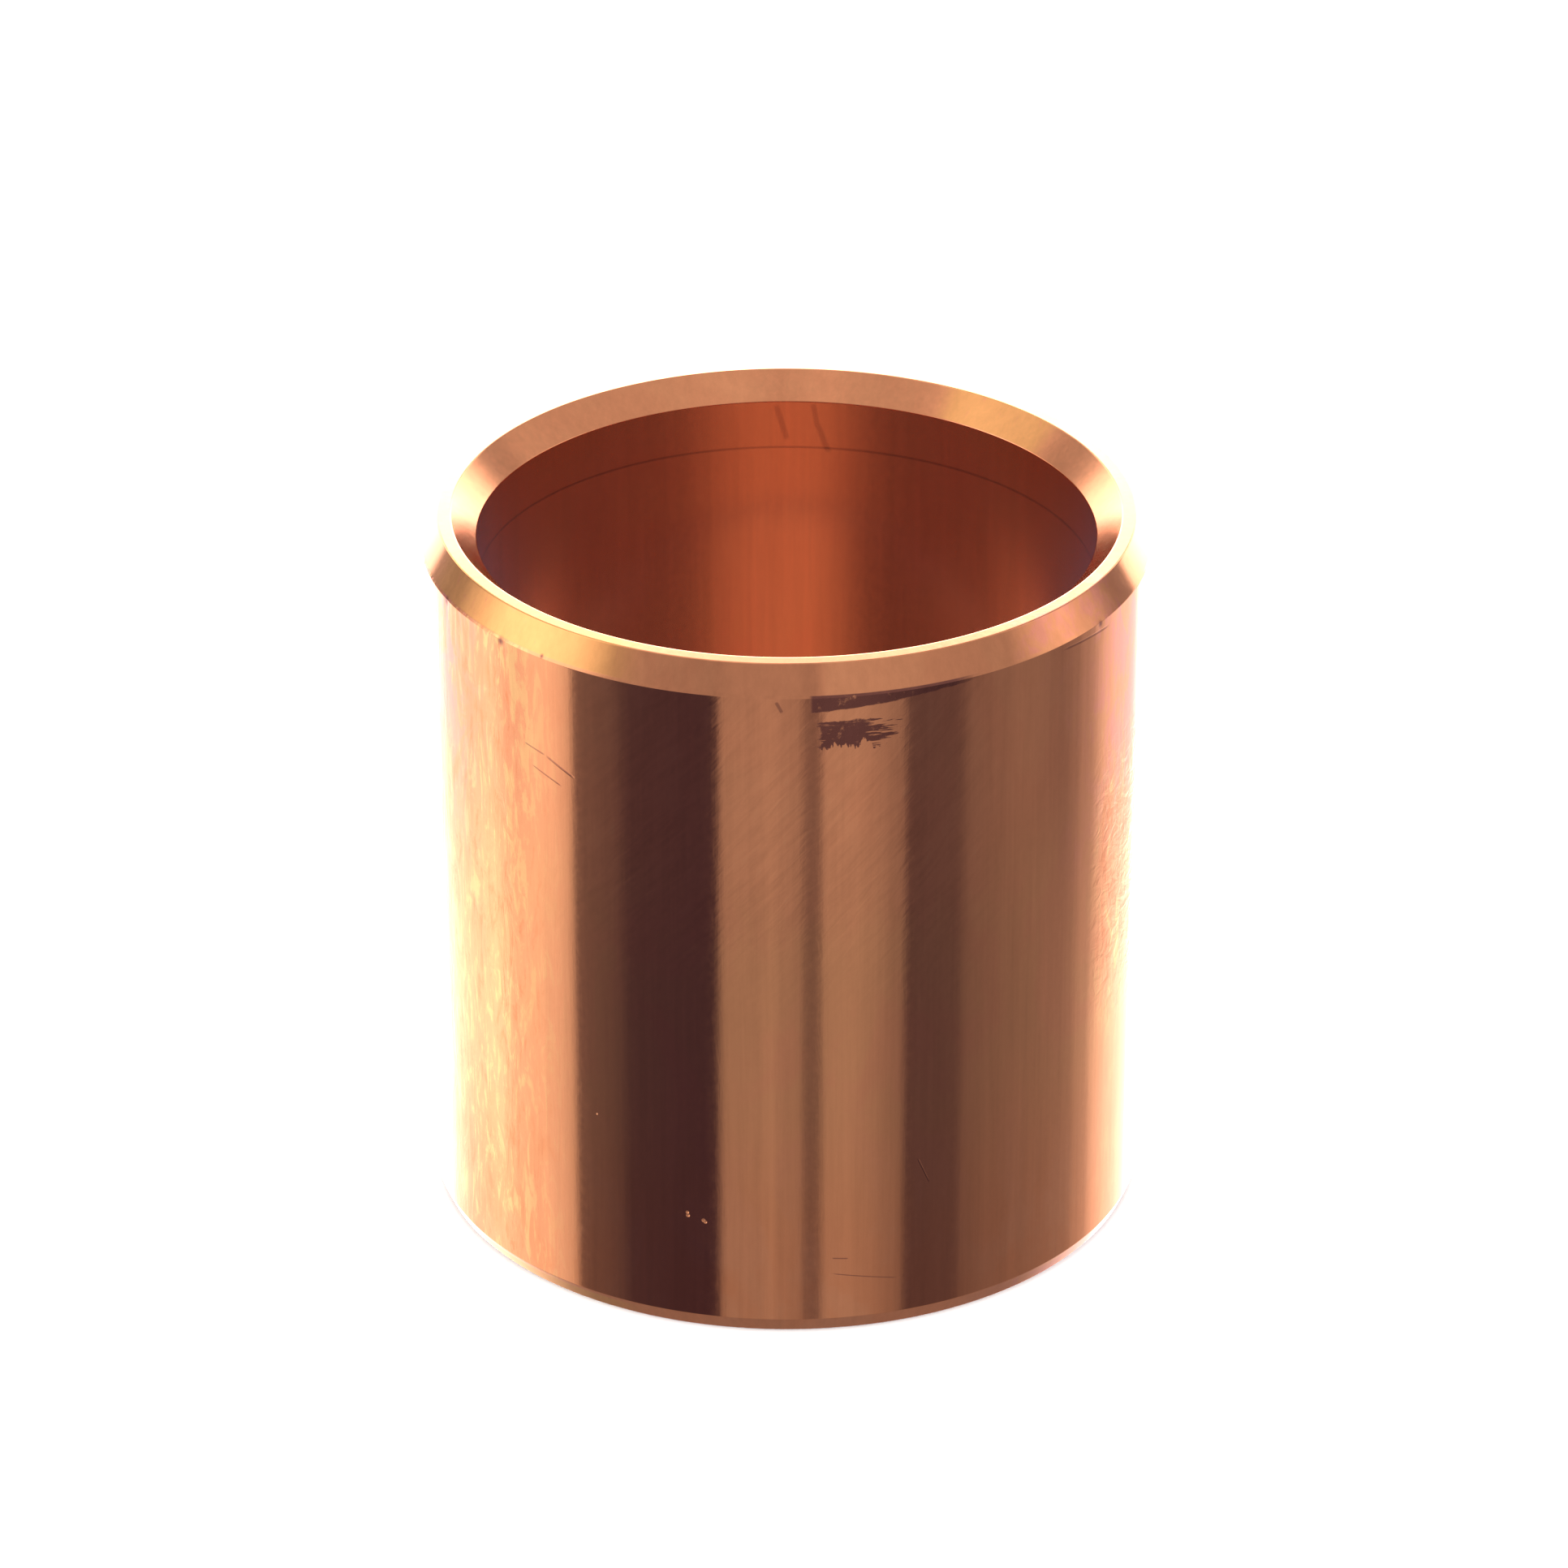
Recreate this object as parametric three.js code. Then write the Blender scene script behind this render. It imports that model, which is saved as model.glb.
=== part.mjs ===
// Bronze sleeve bushing: one plain turned ring that is pressed into a housing and carries a pin.
// Units are millimetres. +Z runs up the axis, towards the end with the large chamfers.
// The origin is on the axis, in the plane of the lower end face.

import * as THREE from 'three';

// The sleeve
const OUTER_DIAMETER = 42;
const BORE_DIAMETER = 35.6;
const LENGTH = 42.5;

// A chamfer's radial size is measured across the end face, and its axial size along the wall.
// Upper end: a long lead-in outside, and a 45 degree chamfer that guides the pin into the bore.
const UPPER_OUTER_CHAMFER = { radial: 0.95, axial: 1.7 };
const UPPER_BORE_CHAMFER = { radial: 1.45, axial: 1.45 };

// Lower end: both edges are broken by a smaller chamfer.
const LOWER_OUTER_CHAMFER = { radial: 0.4, axial: 0.9 };
const LOWER_BORE_CHAMFER = { radial: 0.8, axial: 0.8 };

// Flats around the circle
const SEGMENTS = 160;

const bronze = new THREE.MeshStandardMaterial({
  name: 'bronze',
  color: 0xc47e55,
  metalness: 1,
  roughness: 0.25,
});

// Half of the sleeve's cross-section, as (radius, height) points that close on themselves:
// up the outer wall, over the upper end face, down the bore and back along the lower end face.
function sleeveSection() {
  const outer = OUTER_DIAMETER / 2;
  const bore = BORE_DIAMETER / 2;
  const section = [
    new THREE.Vector2(outer - LOWER_OUTER_CHAMFER.radial, 0),
    new THREE.Vector2(outer, LOWER_OUTER_CHAMFER.axial),
    new THREE.Vector2(outer, LENGTH - UPPER_OUTER_CHAMFER.axial),
    new THREE.Vector2(outer - UPPER_OUTER_CHAMFER.radial, LENGTH),
    new THREE.Vector2(bore + UPPER_BORE_CHAMFER.radial, LENGTH),
    new THREE.Vector2(bore, LENGTH - UPPER_BORE_CHAMFER.axial),
    new THREE.Vector2(bore, LOWER_BORE_CHAMFER.axial),
    new THREE.Vector2(bore + LOWER_BORE_CHAMFER.radial, 0),
  ];
  section.push(section[0].clone());
  return section;
}

// The section turned about the axis. LatheGeometry turns about Y, so the ring is stood up on Z.
function bushingSleeve() {
  const geometry = new THREE.LatheGeometry(sleeveSection(), SEGMENTS);
  geometry.rotateX(Math.PI / 2);
  const mesh = new THREE.Mesh(geometry, bronze);
  mesh.name = 'bushing_sleeve';
  return mesh;
}

const bushing = new THREE.Group();
bushing.add(bushingSleeve());

export default bushing;
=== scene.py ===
"""The looks of the bronze sleeve bushing: a finely turned mesh, a procedural bronze and a small studio.

Every length in the scene is in metres. In the material, a place on the sleeve is an angle in degrees
(0 at the front, which is -Y, and growing towards +X) and a height above the lower end face in millimetres.
"""

import math

import bpy
import numpy as np
from mathutils import Matrix, Vector, noise


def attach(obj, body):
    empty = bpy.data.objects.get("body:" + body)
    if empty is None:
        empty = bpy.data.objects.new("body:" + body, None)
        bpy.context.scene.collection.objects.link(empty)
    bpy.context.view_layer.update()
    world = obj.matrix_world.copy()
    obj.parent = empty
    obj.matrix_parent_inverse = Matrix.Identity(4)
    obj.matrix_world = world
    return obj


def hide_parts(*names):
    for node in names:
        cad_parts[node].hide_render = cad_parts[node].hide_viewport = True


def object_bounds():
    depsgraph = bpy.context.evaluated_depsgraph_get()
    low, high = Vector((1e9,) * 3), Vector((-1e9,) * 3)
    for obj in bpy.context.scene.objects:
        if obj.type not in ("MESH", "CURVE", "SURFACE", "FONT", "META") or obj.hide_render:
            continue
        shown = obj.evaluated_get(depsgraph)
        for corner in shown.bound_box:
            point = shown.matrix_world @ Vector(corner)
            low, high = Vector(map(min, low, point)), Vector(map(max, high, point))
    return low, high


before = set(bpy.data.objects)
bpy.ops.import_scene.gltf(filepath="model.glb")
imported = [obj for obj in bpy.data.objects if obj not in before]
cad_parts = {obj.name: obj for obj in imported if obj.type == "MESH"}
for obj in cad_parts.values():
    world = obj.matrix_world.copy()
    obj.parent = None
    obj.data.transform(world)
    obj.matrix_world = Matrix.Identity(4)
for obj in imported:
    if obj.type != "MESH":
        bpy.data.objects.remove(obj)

MM = 0.001
CAD_NODE = "bushing_sleeve"
CAD_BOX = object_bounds()

# The fine mesh
SEGMENTS = 540                 # steps round the circle
EDGE_RADIUS = 0.09 * MM        # how far the turned edges are rounded
EDGE_STEPS = 4                 # steps in each rounded edge
EDGE_GUARD = 0.05 * MM         # a ring this close to each rounded edge keeps the flats flat
WALL_PITCH = 0.75 * MM         # distance between rings on the outer wall and in the bore
CHAMFER_PITCH = 0.3 * MM       # and on the chamfers and end faces
SHORTEST_WALL = 10 * MM        # a longer side of the section is the outer wall or the bore
WAVE_DEPTH = 0.003 * MM        # how far the ground wall wanders from a true cylinder
WAVE_LENGTH = 9 * MM           # and about how long its waves are round the wall

# The camera, as it stood for the photograph
CAMERA_ELEVATION = math.radians(27.85)
CAMERA_DISTANCE = 0.441
CAMERA_LENS = 172.75
CAMERA_SENSOR = 36
CAMERA_NEAREST = 0.01
CAMERA_FARTHEST = 10
AIM_ABOVE_CENTRE = 3.0 * MM    # the sleeve sits a little below the middle of the frame
AIM_LEFT_OF_CENTRE = 0.15 * MM

FLOOR_SIZE = 3.0
FLOOR_COLOUR = (0.9, 0.9, 0.9, 1)
FLOOR_GAP = 0.02 * MM          # keeps the floor clear of the lower end face

# The metal: what a mirror of it sends back of red, green and blue. It is pinker towards the upper end,
# yellower at mid-height and more orange towards the lower end.
BRONZE = (0.95, 0.385, 0.175, 1)
PINK_BRONZE = (0.95, 0.372, 0.170, 1)
YELLOW_BRONZE = (0.95, 0.41, 0.178, 1)
ORANGE_BRONZE = (0.95, 0.36, 0.155, 1)
ROSE_BLOOM = (0.95, 0.335, 0.24, 1)      # on the upper half of the two sides
# The next two colours are painted light: straw for painted highlight flecks on the sides, salmon for painted
# shade between them
STRAW_PAINTED_HIGHLIGHT = (0.95, 0.52, 0.21, 1)      # flame-shaped flecks on the sides
SALMON_PAINTED_SHADE = (0.92, 0.325, 0.135, 1)   # and the metal between them
GOLDEN_BRONZE = (0.95, 0.43, 0.15, 1)    # on the upper end, to the left of the front
TARNISH_AND_PAINTED_LINE = (0.25, 0.088, 0.070, 1)        # in scratches and where the metal was rubbed, and in the dark line painted in the bore as a reflection

# Marks on the outer wall, as angles in degrees from the front and heights in millimetres. A scratch program
# turned points picked in the photograph into these places, which were then rounded.
RUBBED_WEDGE = {"left": 4.0, "right": 34.0, "top": 40.9, "low_left": 39.9, "low_right": 40.8}
RUBBED_PATCH = {"left": 5.0, "shreds": 10.5, "right": 17.5, "top": 39.3, "bottom": 37.8}

# Pits and nicks: the angle, height and radius of each. A nick is real geometry in the mesh.
PITS = ((-15.6, 7.6, 0.11), (-15.5, 7.4, 0.13), (-13.0, 7.2, 0.13), (-12.7, 7.1, 0.11), (-31.0, 12.8, 0.07))
NICKS = ((-66.0, 40.7, 0.40), (-49.5, 40.7, 0.40), (-40.5, 40.9, 0.20), (57.0, 40.7, 0.30))
NICK_DEPTH = 0.06              # of the radius of the nick

# Scratches: where each starts and ends (degrees, mm, degrees, mm) and half its width in millimetres
WALL_SCRATCHES = (
    (-44.5, 35.1, -39.9, 34.8, 0.07), (-39.9, 34.8, -34.2, 34.0, 0.09), (-43.0, 33.9, -36.5, 33.2, 0.05),
    (20.7, 10.9, 22.9, 9.0, 0.08), (6.7, 3.9, 18.2, 3.1, 0.05),
    (7.0, 4.9, 9.8, 4.8, 0.06), (47.0, 40.45, 60.0, 40.2, 0.10), (-1.6, 40.6, -0.6, 39.9, 0.12),
)
# The same in the bore, with angles from the back
BORE_SCRATCHES = ((-2.2, 41.0, 0.2, 38.4, 0.26), (5.0, 41.0, 6.0, 39.3, 0.24), (5.9, 39.6, 8.2, 37.7, 0.26))
BORE_EDGE_REFLECTION_LINE = 38.05         # height of a dark line painted in the bore: a painted reflection of the bore's lower edge

# The studio. A mirror-like sleeve is drawn by what stands round it, so the surround is laid out as rings of
# (azimuth in degrees, brightness). Azimuth 0 is behind the camera, 90 is to its right, 180 is the backdrop.
# The brightness was first measured in the photograph: a scratch program followed mirror rays from the fitted
# camera and printed how bright the metal is along them. It was then rounded, and adjusted.
BRIGHTEST = 7.0                # the ramps of the rings hold a share of this
TABLE_RING = (                 # mirrored by the outer wall: the table top, out to its bright edges
    (-180, 7.0), (-157, 5.5), (-142, 3.7), (-136, 2.5), (-130, 2.1), (-121, 1.7), (-106, 1.85), (-98, 1.2),
    (-88, 1.1), (-79, 0.92), (-72.4, 0.68), (-70.4, 0.17), (-56, 0.12), (-51, 0.07), (-22.5, 0.055),
    (-20, 0.37), (-9, 0.36), (-5, 0.42), (-2, 0.35), (4, 0.34), (6, 0.18), (10, 0.18), (12, 0.41),
    (22, 0.41), (33, 0.29), (37, 0.25), (38.5, 0.10), (56, 0.115), (59, 0.18), (98, 0.30),
)
TABLE_EDGE = (                 # the same ring, on to its end at the right
    (98, 0.30), (105, 0.37), (107, 0.47), (113, 0.57), (117, 0.92), (133, 1.75), (144, 2.4), (150, 5.5),
    (180, 7.0),
)
ROOM_RING = (                  # mirrored by the upper chamfers: side lamps, dark flags and the backdrop
    (-180, 6.0), (-146, 3.0), (-138, 2.1), (-135.5, 0.50), (-124, 0.38), (-118, 0.44), (-112, 0.8),
    (-107, 1.05), (-97, 1.7), (-83, 1.8), (-70, 1.4), (-57, 0.52), (-45, 0.42), (-22, 0.36), (-19, 0.42),
    (4, 0.44), (7, 0.38), (10, 0.38), (12, 0.55), (35, 0.52), (57, 0.45), (74, 0.42), (83, 0.76),
    (95, 1.1), (107, 0.70), (113, 0.42), (118, 0.32), (127.5, 0.38), (130.5, 2.1), (148, 3.7), (180, 6.0),
)
CEILING_RING = (               # mirrored by the far side of the bore's chamfer
    (-125, 0.85), (-97, 0.93), (-88, 1.15), (-81, 1.1), (-75, 0.56), (-35, 0.55), (-28, 0.74), (-14, 0.72),
    (-8, 0.56), (4, 0.56), (7, 0.50), (12, 0.50), (15, 0.68), (40, 0.65), (58, 0.58), (125, 0.58),
)
BORE_RING = (                  # light from inside the shaded bore, by angle round it from its middle
    (-45, 0.10), (-40, 0.13), (-21, 0.13), (-16.3, 0.13), (-15.2, 0.25), (-12, 0.33), (-9, 0.43),
    (-5.5, 0.48), (-4.7, 0.40), (-2.7, 0.40), (-1.9, 0.50), (8.4, 0.51), (9.8, 0.28), (12, 0.19),
    (15.5, 0.115), (26, 0.115), (30, 0.17), (40, 0.18), (45, 0.12),
)
BORE_SIDES = 0.13              # the same at the two sides of the bore
BORE_LIGHT = (1.18, 1.38, 2.2)
BORE_HAZE = (0.01, 0, 0.17)    # added to it, so that its darkest reflections lean to violet
HAZE = (0, -0.012, 0.035)      # the same for all other light that the metal mirrors
UNDER_TABLE = 0.28             # mirrored by the lower chamfer at the front
UNDER_EDGE = 1.9               # and round at its sides
FLOOR_LIGHT = (2.4, 2.4, 2.4, 1)   # lights the floor, so that it comes out white
BACKDROP = (1, 1, 1, 1)            # what the camera sees past the floor
MAX_BOUNCES = 16                   # light crosses the bore many times before it leaves
MAX_GLOSSY_BOUNCES = 12


class Graph:
    """Short ways to add nodes to one shader's node tree."""

    def __init__(self, tree):
        self.tree = tree
        tree.nodes.clear()

    def add(self, kind, **settings):
        made = self.tree.nodes.new("ShaderNode" + kind)
        for name, value in settings.items():
            setattr(made, name, value)
        return made

    def put(self, socket, value):
        """Links an output to the socket, or sets a plain value on it."""
        if isinstance(value, bpy.types.NodeSocket):
            self.tree.links.new(value, socket)
        else:
            socket.default_value = value

    def math(self, operation, *values):
        made = self.add("Math", operation=operation)
        for socket, value in zip(made.inputs, values):
            self.put(socket, value)
        return made.outputs[0]

    def rise(self, value, low, high):
        """0 up to low, 1 from high on, and a smooth step between. Low may be the larger of the two."""
        made = self.add("MapRange", interpolation_type="SMOOTHSTEP")
        self.put(made.inputs["Value"], value)
        self.put(made.inputs["From Min"], low)
        self.put(made.inputs["From Max"], high)
        return made.outputs["Result"]

    def span(self, value, low, high, soft):
        """1 between low and high, fading to 0 over soft on each side."""
        up = self.rise(value, low - soft, low)
        down = self.rise(value, high, high + soft)
        return self.math("SUBTRACT", up, down)

    def blend(self, share, a, b, kind="FLOAT"):
        """a where share is 0 and b where it is 1."""
        made = self.add("Mix", data_type=kind)
        sockets = [s for s in made.inputs if s.enabled]
        for socket, value in zip(sockets, (share, a, b)):
            self.put(socket, value)
        return next(s for s in made.outputs if s.enabled)

    def ring(self, azimuth, stops):
        """The brightness at an azimuth, between the (azimuth, brightness) stops."""
        first, last = stops[0][0], stops[-1][0]
        place = self.math("DIVIDE", self.math("SUBTRACT", azimuth, first), last - first)
        made = self.add("ValToRGB")
        self.put(made.inputs["Fac"], place)
        elements = made.color_ramp.elements
        while len(elements) < len(stops):
            elements.new(0.5)
        for element, (degrees, level) in zip(elements, stops):
            element.position = (degrees - first) / (last - first)
            element.color = (level / BRIGHTEST,) * 3 + (1,)
        return self.math("MULTIPLY", made.outputs["Color"], BRIGHTEST)

    def combined(self, operation, a, b):
        """A vector operation on a and b. For SCALE, b is a plain number or a float output."""
        made = self.add("VectorMath", operation=operation)
        self.put(made.inputs[0], a)
        self.put(made.inputs["Scale" if operation == "SCALE" else 1], b)
        return made.outputs[0]

    def noise(self, vector, sizes, detail=2.0, roughness=0.5, distortion=0.0):
        """Noise from 0 to 1 whose grains are about sizes long in x, y and z, in the vector's units."""
        made = self.add("TexNoise")
        self.put(made.inputs["Vector"], self.combined("MULTIPLY", vector, [1 / size for size in sizes]))
        made.inputs["Scale"].default_value = 1
        made.inputs["Detail"].default_value = detail
        made.inputs["Roughness"].default_value = roughness
        made.inputs["Distortion"].default_value = distortion
        return made.outputs["Fac"]

    def tint(self, share, a, b):
        """Colour a where share is 0 and colour b where it is 1."""
        return self.blend(share, a, b, "RGBA")

    def total(self, *values):
        result = values[0]
        for value in values[1:]:
            result = self.math("ADD", result, value)
        return result

    def product(self, *values):
        result = values[0]
        for value in values[1:]:
            result = self.math("MULTIPLY", result, value)
        return result


def section_corners(node):
    """The corners of the cross-section as (radius, height), in order, from the CAD node's vertices."""
    places = [v.co for v in node.data.vertices]
    corners = {(round(math.hypot(p.x, p.y), 6), round(p.z, 6)) for p in places}
    middle = np.mean(list(corners), axis=0)
    return sorted(corners, key=lambda c: math.atan2(c[1] - middle[1], c[0] - middle[0]))


def rounded_corner(before, corner, after):
    """Points on an arc that replaces the corner between its two neighbours."""
    a = (before - corner).normalized()
    b = (after - corner).normalized()
    half = a.angle(b) / 2
    reach = EDGE_RADIUS / math.tan(half)
    centre = corner + (a + b).normalized() * (EDGE_RADIUS / math.sin(half))
    spoke = corner + a * reach - centre
    turn = math.pi - 2 * half
    return [centre + Matrix.Rotation(turn * i / EDGE_STEPS, 2) @ spoke for i in range(EDGE_STEPS + 1)]


def straight_side(start, end):
    """Ring points between two rounded corners, with a guard ring close to each."""
    length = (end - start).length
    along = (end - start) / length
    pitch = WALL_PITCH if length > SHORTEST_WALL else CHAMFER_PITCH
    inner = length - 2 * EDGE_GUARD
    steps = max(1, round(inner / pitch))
    return [start + along * (EDGE_GUARD + inner * i / steps) for i in range(steps + 1)]


def fine_section(corners):
    """The closed cross-section with rounded edges, as (radius, height) points."""
    corners = [Vector(c) for c in corners]
    arcs = []
    for i, corner in enumerate(corners):
        after = corners[(i + 1) % len(corners)]
        arcs.append(rounded_corner(corners[i - 1], corner, after))
    points = []
    for i, arc in enumerate(arcs):
        after = arcs[(i + 1) % len(arcs)]
        points.extend(arc)
        points.extend(straight_side(arc[-1], after[0]))
    return points


def wall_place(angle, height):
    """The point of the outer wall at an angle in degrees from the front and a height in millimetres."""
    turn = math.radians(angle)
    radius = CAD_BOX[1].x
    return Vector((math.sin(turn) * radius, -math.cos(turn) * radius, height * MM))


def sunk(x, y, z):
    """How far a point of the surface is moved inwards: by shallow waves left by grinding, and by nicks."""
    wave = noise.noise(Vector((x, y, z * 0.6)) / WAVE_LENGTH)
    depth = WAVE_DEPTH * (0.5 + 0.5 * wave)
    for angle, height, size in NICKS:
        away = (Vector((x, y, z)) - wall_place(angle, height)).length / (size * MM)
        if away < 1:
            depth += NICK_DEPTH * size * MM * (1 - away * away) ** 2
    return depth


def turned_sleeve(corners):
    """The whole sleeve as one closed mesh."""
    section = fine_section(corners)
    count = len(section)
    verts = []
    for k in range(SEGMENTS):
        angle = 2 * math.pi * k / SEGMENTS
        for radius, height in section:
            outward = Vector((math.sin(angle), -math.cos(angle)))
            place = outward * radius
            place -= outward * sunk(place.x, place.y, height)
            verts.append((place.x, place.y, height))
    faces = []
    for k in range(SEGMENTS):
        here, there = k * count, (k + 1) % SEGMENTS * count
        for i in range(count):
            j = (i + 1) % count
            faces.append((here + i, there + i, there + j, here + j))
    mesh = bpy.data.meshes.new("turned_bushing_sleeve")
    mesh.from_pydata(verts, [], faces)
    mesh.shade_smooth()
    sleeve = bpy.data.objects.new("turned_bushing_sleeve", mesh)
    bpy.context.scene.collection.objects.link(sleeve)
    return sleeve


class Place:
    """Where a shaded point is on the sleeve."""

    def __init__(self, g, corners):
        top = max(height for _, height in corners)
        self.wall_radius = max(radius for radius, _ in corners) / MM
        self.bore_radius = min(radius for radius, _ in corners) / MM
        mouth_radius = min(radius for radius, height in corners if height == top) / MM

        self.point = g.combined("SCALE", g.add("TexCoord").outputs["Object"], 1 / MM)
        parts = g.add("SeparateXYZ")
        g.put(parts.inputs[0], self.point)
        x, y, self.height = parts.outputs
        self.front = g.math("DEGREES", g.math("ARCTAN2", x, g.math("MULTIPLY", y, -1)))
        self.back = g.math("DEGREES", g.math("ARCTAN2", x, y))
        self.sides = g.math("ABSOLUTE", self.front)

        # The outer wall, the bore, the chamfers and end faces, and the bore's upper chamfer
        radius = g.math("SQRT", g.total(g.product(x, x), g.product(y, y)))
        self.on_wall = g.rise(radius, self.wall_radius - 0.12, self.wall_radius - 0.06)
        self.in_bore = g.rise(radius, self.bore_radius + 0.06, self.bore_radius + 0.02)
        self.on_ends = g.math("SUBTRACT", g.math("SUBTRACT", 1, self.on_wall), self.in_bore)
        self.in_mouth = g.product(self.on_ends, g.rise(radius, mouth_radius, mouth_radius - 0.05))

        # Where the wall carries the flame relief and the painted highlight flecks, and where it was brushed
        # slantwise at the front
        self.flamed_left = g.span(self.front, -90, -50, 16)
        self.flamed_right = g.product(g.span(self.front, 62, 84, 8), g.span(self.height, 19, 29, 7))
        self.brushed = g.product(g.rise(self.height, 16, 30), g.rise(self.sides, 40, 25), self.on_wall)


class Noises:
    """Patterns from 0 to 1 that the colour, polish and relief share. Their sizes are in millimetres."""

    def __init__(self, g, place):
        self.clouds = g.noise(place.point, (5, 5, 9), 4, 0.6, 0.6)
        self.grain = g.noise(place.point, (0.35, 0.35, 0.45), 3, 0.6)
        self.streaks = g.noise(place.point, (0.6, 0.6, 20), 4, 0.7)
        self.turning = g.noise(place.point, (30, 30, 0.22), 3, 0.7)
        self.flames = g.noise(place.point, (0.8, 0.8, 4.2), 5, 0.62, 1.4)
        self.blotches = g.noise(place.point, (1.6, 1.6, 3.6), 4, 0.7, 0.8)
        self.peel = g.noise(place.point, (1.0, 1.0, 0.9), 3, 0.5, 1.2)
        slanted = g.add("VectorRotate", rotation_type="Y_AXIS")
        g.put(slanted.inputs["Vector"], place.point)
        slanted.inputs["Angle"].default_value = math.radians(50)
        self.strokes = g.noise(slanted.outputs[0], (2.5, 2.5, 0.45), 3, 0.6, 0.4)


def line_mark(g, angle, height, scratch, radius):
    """1 on a scratch and 0 off it. A scratch is thin at both of its ends."""
    start_angle, start_height, end_angle, end_height, half_width = scratch
    arc = math.radians(1) * radius
    run = Vector(((end_angle - start_angle) * arc, end_height - start_height))
    across = g.product(g.math("SUBTRACT", angle, start_angle), arc)
    up = g.math("SUBTRACT", height, start_height)
    along = g.product(g.total(g.product(across, run.x), g.product(up, run.y)), 1 / run.length_squared)
    side = g.product(g.math("SUBTRACT", g.product(across, run.y), g.product(up, run.x)), 1 / run.length)
    near = g.rise(g.math("ABSOLUTE", side), half_width, half_width * 0.3)
    return g.product(near, g.span(along, 0.15, 0.85, 0.15))


def pit_mark(g, angle, height, pit, radius):
    """1 in the middle of a pit, falling smoothly to 0 at its edge."""
    pit_angle, pit_height, size = pit
    across = g.product(g.math("SUBTRACT", angle, pit_angle), math.radians(1) * radius)
    up = g.math("SUBTRACT", height, pit_height)
    away = g.math("SQRT", g.total(g.product(across, across), g.product(up, up)))
    return g.rise(away, size, 0)


def rubbed_wedge(g, place, coarse):
    """A long dark mark under the upper chamfer, which narrows towards the right."""
    wedge = RUBBED_WEDGE
    slope = (wedge["low_right"] - wedge["low_left"]) / (wedge["right"] - wedge["left"])
    lower = g.total(g.product(g.math("SUBTRACT", place.front, wedge["left"]), slope), wedge["low_left"])
    above = g.math("SUBTRACT", g.total(place.height, g.product(coarse, 0.25)), lower)
    frayed = g.total(place.front, g.product(coarse, 2))
    return g.product(
        g.rise(above, -0.04, 0.04),
        g.rise(place.height, wedge["top"] + 0.05, wedge["top"]),
        g.span(frayed, wedge["left"], wedge["right"] - 8, 5),
        g.rise(place.front, wedge["left"] - 0.8, wedge["left"]),
    )


def rubbed_patch(g, place, coarse, fine):
    """A dark patch below the wedge, torn along its lower edge and in shreds at its right."""
    patch = RUBBED_PATCH
    teeth = g.math("SUBTRACT", g.noise(place.point, (0.45, 0.45, 2.5), 3, 0.6), 0.5)
    angle = g.total(place.front, g.product(coarse, 3), g.product(fine, 1))
    low = g.total(place.height, g.product(teeth, 2.2), g.product(fine, 0.3))
    high = g.total(place.height, g.product(coarse, 0.25), g.product(fine, 0.2))
    scraped = g.noise(place.point, (1.5, 1.5, 0.12), 3, 0.6)
    shreds = g.rise(place.front, patch["shreds"], patch["right"])
    return g.product(
        g.rise(angle, patch["left"] - 0.3, patch["left"] + 0.3),
        g.rise(angle, patch["right"] + 0.5, patch["right"]),
        g.rise(low, patch["bottom"] - 0.06, patch["bottom"] + 0.06),
        g.rise(high, patch["top"] + 0.08, patch["top"]),
        g.rise(g.math("SUBTRACT", scraped, g.product(shreds, 0.22)), 0.33, 0.38),
    )


def rubbed(g, place):
    """The dark rubbed marks under the upper chamfer. A coarse and a fine noise about 0 fray their edges."""
    coarse = g.math("SUBTRACT", g.noise(place.point, (0.9, 0.9, 0.35), 4, 0.65), 0.5)
    fine = g.math("SUBTRACT", g.noise(place.point, (0.25, 0.25, 0.12), 2), 0.5)
    return g.math("MAXIMUM", rubbed_wedge(g, place, coarse), rubbed_patch(g, place, coarse, fine))


class Marks:
    """Marks of turning and handling, and a painted reflection line in the bore, each 1 where the metal is
    marked and 0 elsewhere.
    """

    def __init__(self, g, place, noises):
        wall, bore = place.wall_radius, place.bore_radius
        lines = [line_mark(g, place.front, place.height, s, wall) for s in WALL_SCRATCHES]
        self.scratched = g.product(g.math("MINIMUM", g.total(*lines), 1), place.on_wall)
        lines = [line_mark(g, place.back, place.height, s, bore) for s in BORE_SCRATCHES]
        self.smeared = g.product(g.math("MINIMUM", g.total(*lines), 1), place.in_bore)
        # A dark line painted in the bore: a painted reflection of the bore's lower edge
        off_line = g.math("ABSOLUTE", g.math("SUBTRACT", place.height, BORE_EDGE_REFLECTION_LINE))
        self.painted_edge_reflection = g.product(g.rise(off_line, 0.11, 0.03), place.in_bore)
        self.nicked = g.total(*[pit_mark(g, place.front, place.height, n, wall) for n in NICKS])
        pits = [pit_mark(g, place.front, place.height, p, wall) for p in PITS]
        self.pitted = g.product(g.total(*pits), place.on_wall)
        self.worn = g.product(rubbed(g, place), place.on_wall, g.rise(noises.grain, 0.15, 0.42))


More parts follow.
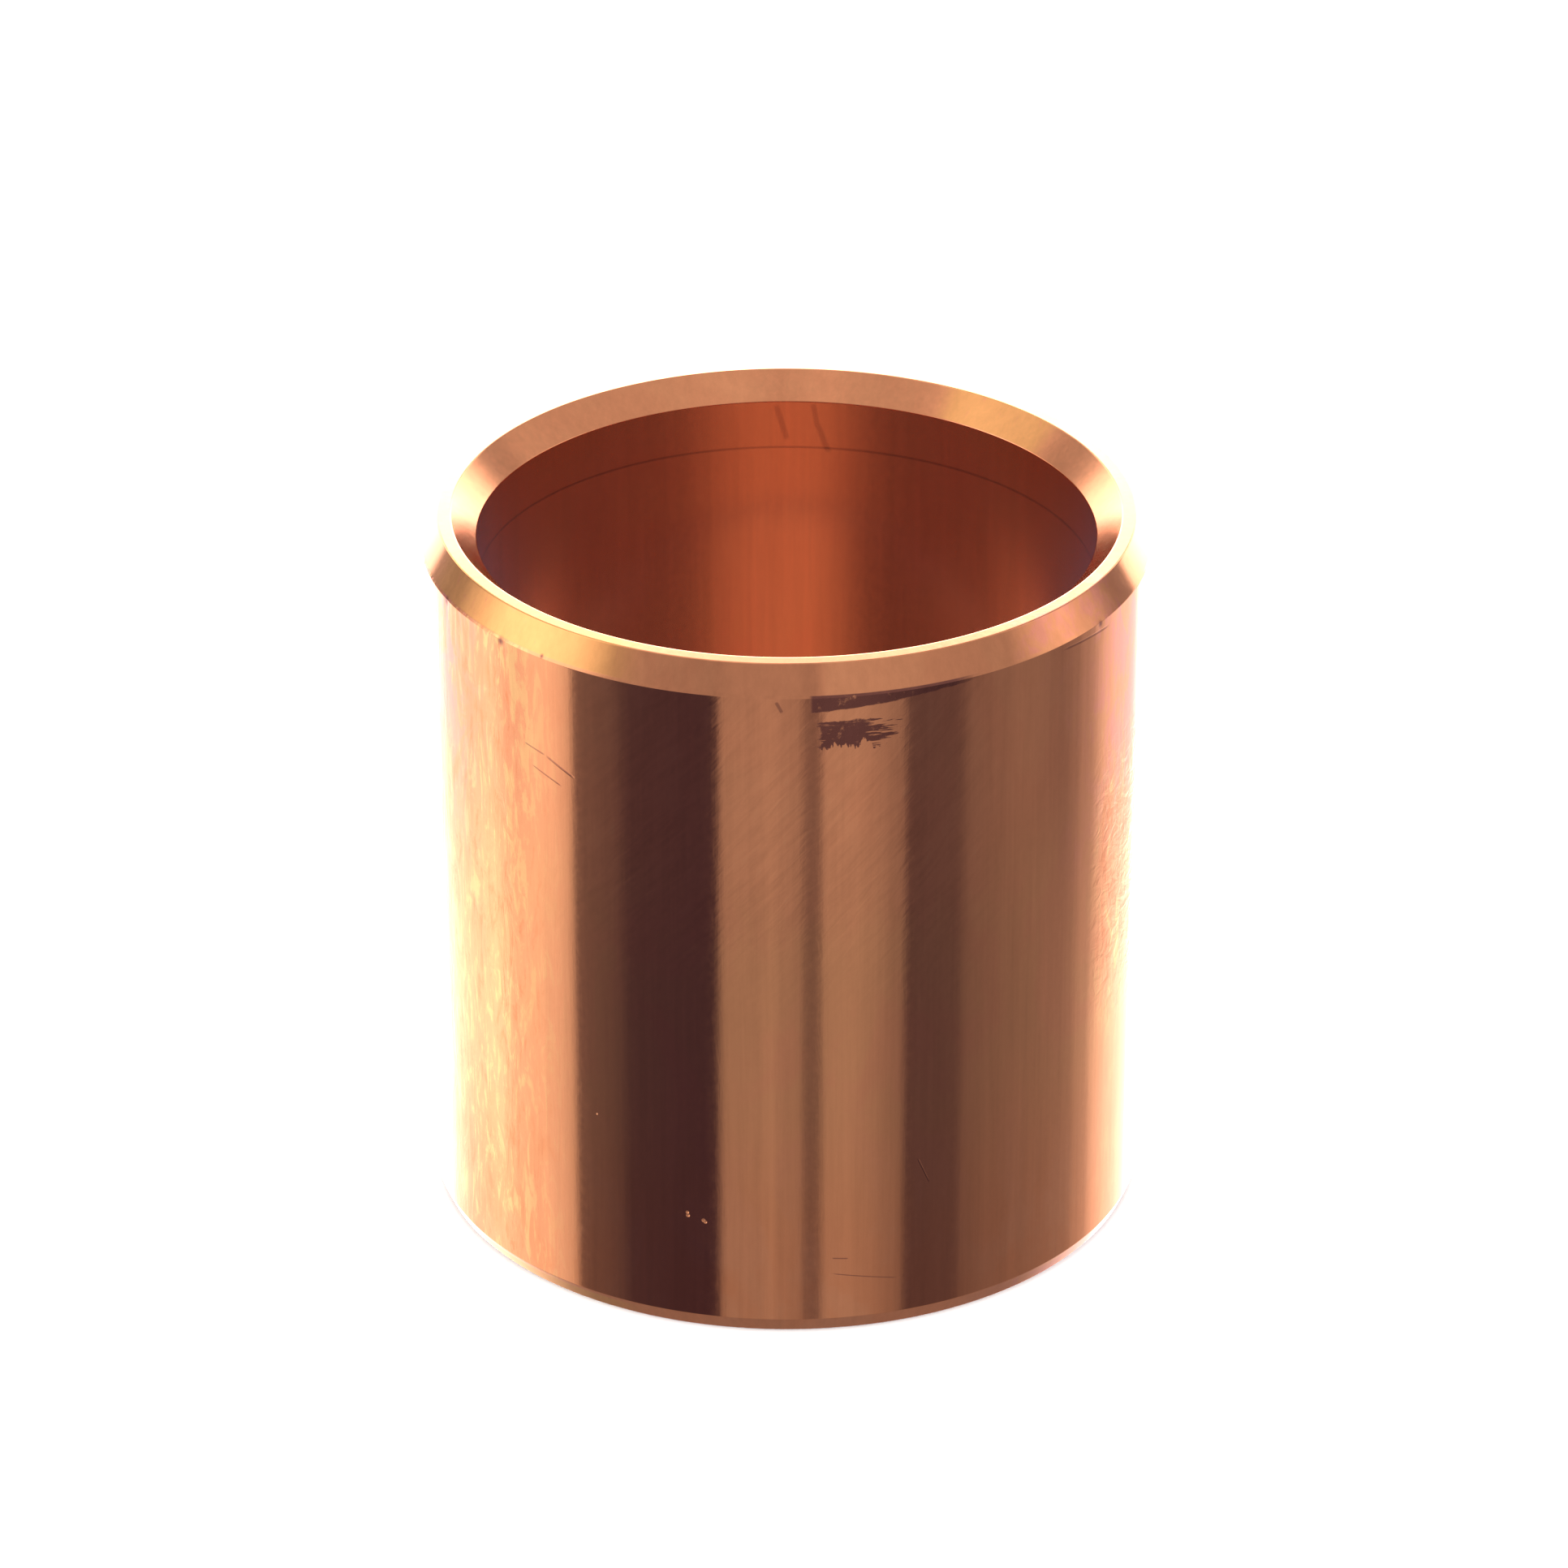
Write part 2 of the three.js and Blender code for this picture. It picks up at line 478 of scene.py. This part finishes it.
def metal_colour(g, place, noises):
    """Bronze that changes a little with height, with flame-like painted highlight flecks and darker painted
    shade between them on the sides, and tinted ends.
    """
    colour = g.tint(g.rise(place.height, 2, 18), ORANGE_BRONZE, YELLOW_BRONZE)
    colour = g.tint(g.rise(place.height, 24, 34), colour, PINK_BRONZE)
    colour = g.tint(g.rise(noises.clouds, 0.42, 0.62), colour, BRONZE)

    # Flame-shaped flecks on the sides: straw painted highlights, with salmon painted shade between them
    faint = g.product(g.rise(place.sides, 56, 62), 0.15)
    painted_fleck_zone = g.product(g.total(place.flamed_left, place.flamed_right, faint), place.on_wall)
    fleck = g.total(g.product(noises.flames, 0.6), g.product(noises.blotches, 0.4))
    colour = g.tint(g.product(painted_fleck_zone, g.rise(fleck, 0.50, 0.59)), colour, STRAW_PAINTED_HIGHLIGHT)
    colour = g.tint(g.product(painted_fleck_zone, g.rise(fleck, 0.47, 0.38)), colour, SALMON_PAINTED_SHADE)

    outermost = g.span(g.total(place.sides, g.product(noises.clouds, 60)), 100, 118, 22)
    rosy = g.product(g.rise(place.height, 22, 36), outermost, place.on_wall)
    patches = g.rise(noises.blotches, 0.40, 0.58)
    colour = g.tint(g.product(rosy, patches), colour, ROSE_BLOOM)

    at_left_and_back = g.total(g.span(place.front, -68, -30, 8), g.span(place.front, 128, 147, 5))
    golden = g.product(at_left_and_back, place.on_ends, g.rise(fleck, 0.30, 0.45))
    colour = g.tint(golden, colour, GOLDEN_BRONZE)
    blushed = g.product(g.span(place.front, 42, 62, 6), place.on_ends, patches, 0.6)
    return g.tint(blushed, colour, ROSE_BLOOM)


def darkness(g, marks):
    """How much of the tarnish's colour the marks and the painted reflection line in the bore bring in."""
    dark = g.math("MAXIMUM", g.product(marks.worn, 0.92), g.product(marks.scratched, 0.55))
    dark = g.total(
        dark,
        g.product(marks.smeared, 0.3),
        g.product(marks.painted_edge_reflection, 0.4),
        g.product(marks.nicked, 0.9),
    )
    return g.math("MINIMUM", dark, 1)


def shade(g, place, noises):
    """How much of its light the metal sends back from place to place."""
    return g.total(
        0.74,
        g.product(noises.clouds, 0.07),
        g.product(noises.blotches, 0.10),
        g.product(noises.grain, 0.07),
        g.product(noises.streaks, 0.28),
        g.product(g.math("SUBTRACT", noises.strokes, 0.5), place.brushed, 0.3),
    )


def roughness(g, place, noises, marks):
    """A mirror polish, duller where it was rubbed. The bore and its mouth keep their turning marks."""
    return g.total(
        0.03,
        g.product(noises.grain, 0.05),
        g.product(place.in_bore, 0.075),
        g.product(place.in_mouth, 0.075),
        g.product(marks.worn, 0.15),
    )


def relief(g, place, noises, marks):
    """The height of the fine relief, in millimetres."""
    off_wall = g.math("SUBTRACT", 1, place.on_wall)
    return g.total(
        g.product(noises.peel, place.flamed_right, place.on_wall, 0.022),
        g.product(noises.flames, place.flamed_left, place.on_wall, 0.012),
        g.product(noises.flames, place.on_wall, 0.0012),
        g.product(noises.strokes, place.brushed, 0.003),
        g.product(noises.grain, 0.0004),
        g.product(noises.streaks, place.on_wall, 0.0012),
        g.product(noises.turning, off_wall, 0.0006),
        g.product(marks.scratched, -0.004),
        g.product(marks.pitted, -0.05),
    )


def bronze(corners):
    """Bright turned bronze: mirror-like, mottled and faintly streaked, with painted highlight flecks, a
    painted reflection line in the bore and a few handling marks.
    """
    material = bpy.data.materials.new("bronze")
    material.use_nodes = True
    g = Graph(material.node_tree)
    place = Place(g, corners)
    noises = Noises(g, place)
    marks = Marks(g, place, noises)

    shader = g.add("BsdfPrincipled")
    shader.inputs["Metallic"].default_value = 1
    shader.inputs["Anisotropic"].default_value = 1
    colour = g.tint(darkness(g, marks), metal_colour(g, place, noises), TARNISH_AND_PAINTED_LINE)
    g.put(shader.inputs["Base Color"], g.combined("SCALE", colour, shade(g, place, noises)))
    g.put(shader.inputs["Roughness"], roughness(g, place, noises, marks))

    bump = g.add("Bump")
    bump.inputs["Strength"].default_value = 1
    bump.inputs["Distance"].default_value = MM
    g.put(bump.inputs["Height"], relief(g, place, noises, marks))
    g.put(shader.inputs["Normal"], bump.outputs["Normal"])
    g.put(g.add("OutputMaterial").inputs["Surface"], shader.outputs["BSDF"])
    return material


class Ray:
    """The direction and the history of a ray that has reached the surround."""

    def __init__(self, g):
        parts = g.add("SeparateXYZ")
        g.put(parts.inputs[0], g.add("TexCoord").outputs["Generated"])
        x, y, z = parts.outputs
        self.azimuth = g.math("DEGREES", g.math("ARCTAN2", x, g.math("MULTIPLY", y, -1)))
        self.sideways = g.math("ABSOLUTE", self.azimuth)
        self.elevation = g.math("DEGREES", g.math("ARCSINE", z))
        path = g.add("LightPath")
        self.bounces = g.math("SUBTRACT", path.outputs["Ray Depth"], 1)
        self.left_floor = path.outputs["Is Diffuse Ray"]
        self.left_camera = path.outputs["Is Camera Ray"]


def table_light(g, ray):
    """The table top. Far from the sleeve it is brighter in front and dimmer at the sides, and close to the
    sleeve it is dimmer at the left and behind."""
    at_edge = g.math("GREATER_THAN", ray.azimuth, TABLE_EDGE[0][0])
    level = g.blend(at_edge, g.ring(ray.azimuth, TABLE_RING), g.ring(ray.azimuth, TABLE_EDGE))
    far_gain = g.blend(g.rise(ray.sideways, 80, 97), 1.15, 0.84)
    far_gain = g.blend(g.rise(ray.sideways, 124, 138), far_gain, 0.66)
    near_gain = g.blend(g.rise(ray.azimuth, -95, -110), 1, 0.84)
    return g.product(
        level,
        g.blend(g.rise(ray.elevation, -29.3, -27.0), 1, far_gain),
        g.blend(g.rise(ray.elevation, -29.3, -31.0), 1, near_gain),
    )


def room_light(g, ray):
    """Lamps, dark flags and the backdrop. The flags at the right lean, and the backdrop ends part way up."""
    leaning = g.math("SUBTRACT", ray.azimuth, g.product(ray.elevation, g.rise(ray.azimuth, 100, 120), 0.35))
    backdrop = g.blend(g.rise(ray.elevation, 24.7, 26.4), 1, 0.33)
    return g.product(g.ring(leaning, ROOM_RING), g.blend(g.rise(ray.sideways, 145, 160), 1, backdrop))


def light_from_below(g, ray):
    """What the lower chamfer mirrors: a shaded table, with a bright edge that starts later at the right."""
    turned_away = g.math("SUBTRACT", ray.sideways, g.product(g.rise(ray.azimuth, 0, 90), 28))
    edge = g.product(g.rise(ray.elevation, -64, -42), g.rise(turned_away, 85, 145))
    return g.blend(edge, UNDER_TABLE, UNDER_EDGE)


def surround(g, ray):
    """The light of the whole surround: from below, from the table, from the room and from the ceiling."""
    level = g.blend(g.rise(ray.elevation, -16, -4), table_light(g, ray), room_light(g, ray))
    upward = g.total(ray.elevation, g.product(g.rise(ray.sideways, 75, 100), 12))
    level = g.blend(g.rise(upward, 43, 48), level, g.ring(ray.azimuth, CEILING_RING))
    level = g.blend(g.rise(ray.elevation, -34, -41), level, light_from_below(g, ray))
    return g.combined("ADD", g.combined("SCALE", (1, 1, 1), level), HAZE)


def light_in_bore(g, ray):
    """Light that has come up the bore from the shaded table under it. Each bounce in a round bore turns a ray
    by the same angle, so its azimuth and its bounces tell where round the bore it struck first."""
    odd_turn = g.math("SUBTRACT", ray.azimuth, g.product(ray.bounces, 180))
    turned = g.math("SUBTRACT", g.math("FLOORED_MODULO", odd_turn, 360), 180)
    angle = g.math("DIVIDE", turned, g.product(ray.bounces, -2))
    at_sides = g.math("GREATER_THAN", ray.bounces, 3.5)
    level = g.blend(at_sides, g.ring(angle, BORE_RING), BORE_SIDES)
    return g.combined("ADD", g.combined("SCALE", BORE_LIGHT, level), BORE_HAZE)


def paid_back(g, ray, from_bore):
    """What the metal took from light in the bore at each bounce after the second. Fine turning marks keep the
    look of the bore the same all the way up, which a perfect mirror would darken bounce by bounce. Light that
    bounces often glances along the wall, and the metal takes less of it."""
    cosine = g.math("DIVIDE", 2, g.math("MAXIMUM", ray.bounces, 2))
    glancing = g.math("POWER", g.math("SUBTRACT", 1, cosine), 5)
    extra = g.product(g.math("MAXIMUM", g.math("SUBTRACT", ray.bounces, 2), 0), from_bore)
    result = g.add("CombineXYZ")
    for socket, share in zip(result.inputs, BRONZE):
        kept = g.total(share, g.product(glancing, 1 - share))
        g.put(socket, g.math("POWER", kept, g.product(extra, -1)))
    return result.outputs[0]


def studio():
    """The world: white to the eye and for the floor, and a laid-out surround for the mirror-like metal."""
    world = bpy.data.worlds.new("studio")
    bpy.context.scene.world = world
    world.use_nodes = True
    world.cycles.sampling_method = "NONE"
    g = Graph(world.node_tree)
    ray = Ray(g)
    from_bore = g.product(g.math("GREATER_THAN", ray.bounces, 1.5), g.rise(ray.elevation, -8, -13))
    light = g.tint(from_bore, surround(g, ray), light_in_bore(g, ray))
    light = g.combined("MULTIPLY", light, paid_back(g, ray, from_bore))
    light = g.tint(ray.left_floor, light, FLOOR_LIGHT)
    light = g.tint(ray.left_camera, light, BACKDROP)
    background = g.add("Background")
    g.put(background.inputs["Color"], light)
    g.put(g.add("OutputWorld").inputs["Surface"], background.outputs[0])


def pale_floor():
    """A plain matt floor that the metal doesn't mirror."""
    material = bpy.data.materials.new("floor_white")
    material.use_nodes = True
    g = Graph(material.node_tree)
    shader = g.add("BsdfDiffuse")
    shader.inputs["Color"].default_value = FLOOR_COLOUR
    g.put(g.add("OutputMaterial").inputs["Surface"], shader.outputs[0])
    half = FLOOR_SIZE / 2
    corners = [(-half, -half, 0), (half, -half, 0), (half, half, 0), (-half, half, 0)]
    mesh = bpy.data.meshes.new("floor")
    mesh.from_pydata(corners, [], [(0, 1, 2, 3)])
    mesh.materials.append(material)
    floor = bpy.data.objects.new("floor", mesh)
    floor.location.z = CAD_BOX[0].z - FLOOR_GAP
    floor.visible_glossy = False
    bpy.context.scene.collection.objects.link(floor)


def camera():
    """A long lens that looks down at the sleeve from the front."""
    data = bpy.data.cameras.new("camera")
    data.lens = CAMERA_LENS
    data.sensor_width = CAMERA_SENSOR
    data.clip_start = CAMERA_NEAREST
    data.clip_end = CAMERA_FARTHEST
    made = bpy.data.objects.new("camera", data)
    bpy.context.scene.collection.objects.link(made)
    centre = (CAD_BOX[0] + CAD_BOX[1]) / 2
    back = Vector((0, -math.cos(CAMERA_ELEVATION), math.sin(CAMERA_ELEVATION)))
    image_up = Vector((0, math.sin(CAMERA_ELEVATION), math.cos(CAMERA_ELEVATION)))
    made.location = centre + back * CAMERA_DISTANCE
    aim = centre + image_up * AIM_ABOVE_CENTRE - Vector((AIM_LEFT_OF_CENTRE, 0, 0))
    made.rotation_euler = (aim - made.location).to_track_quat("-Z", "Y").to_euler()
    bpy.context.scene.camera = made


scene = bpy.context.scene
scene.view_settings.view_transform = "Standard"
scene.cycles.max_bounces = MAX_BOUNCES
scene.cycles.glossy_bounces = MAX_GLOSSY_BOUNCES

corners = section_corners(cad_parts[CAD_NODE])
sleeve = turned_sleeve(corners)
sleeve.data.materials.append(bronze(corners))
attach(sleeve, "root")
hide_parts(CAD_NODE)

studio()
pale_floor()
camera()
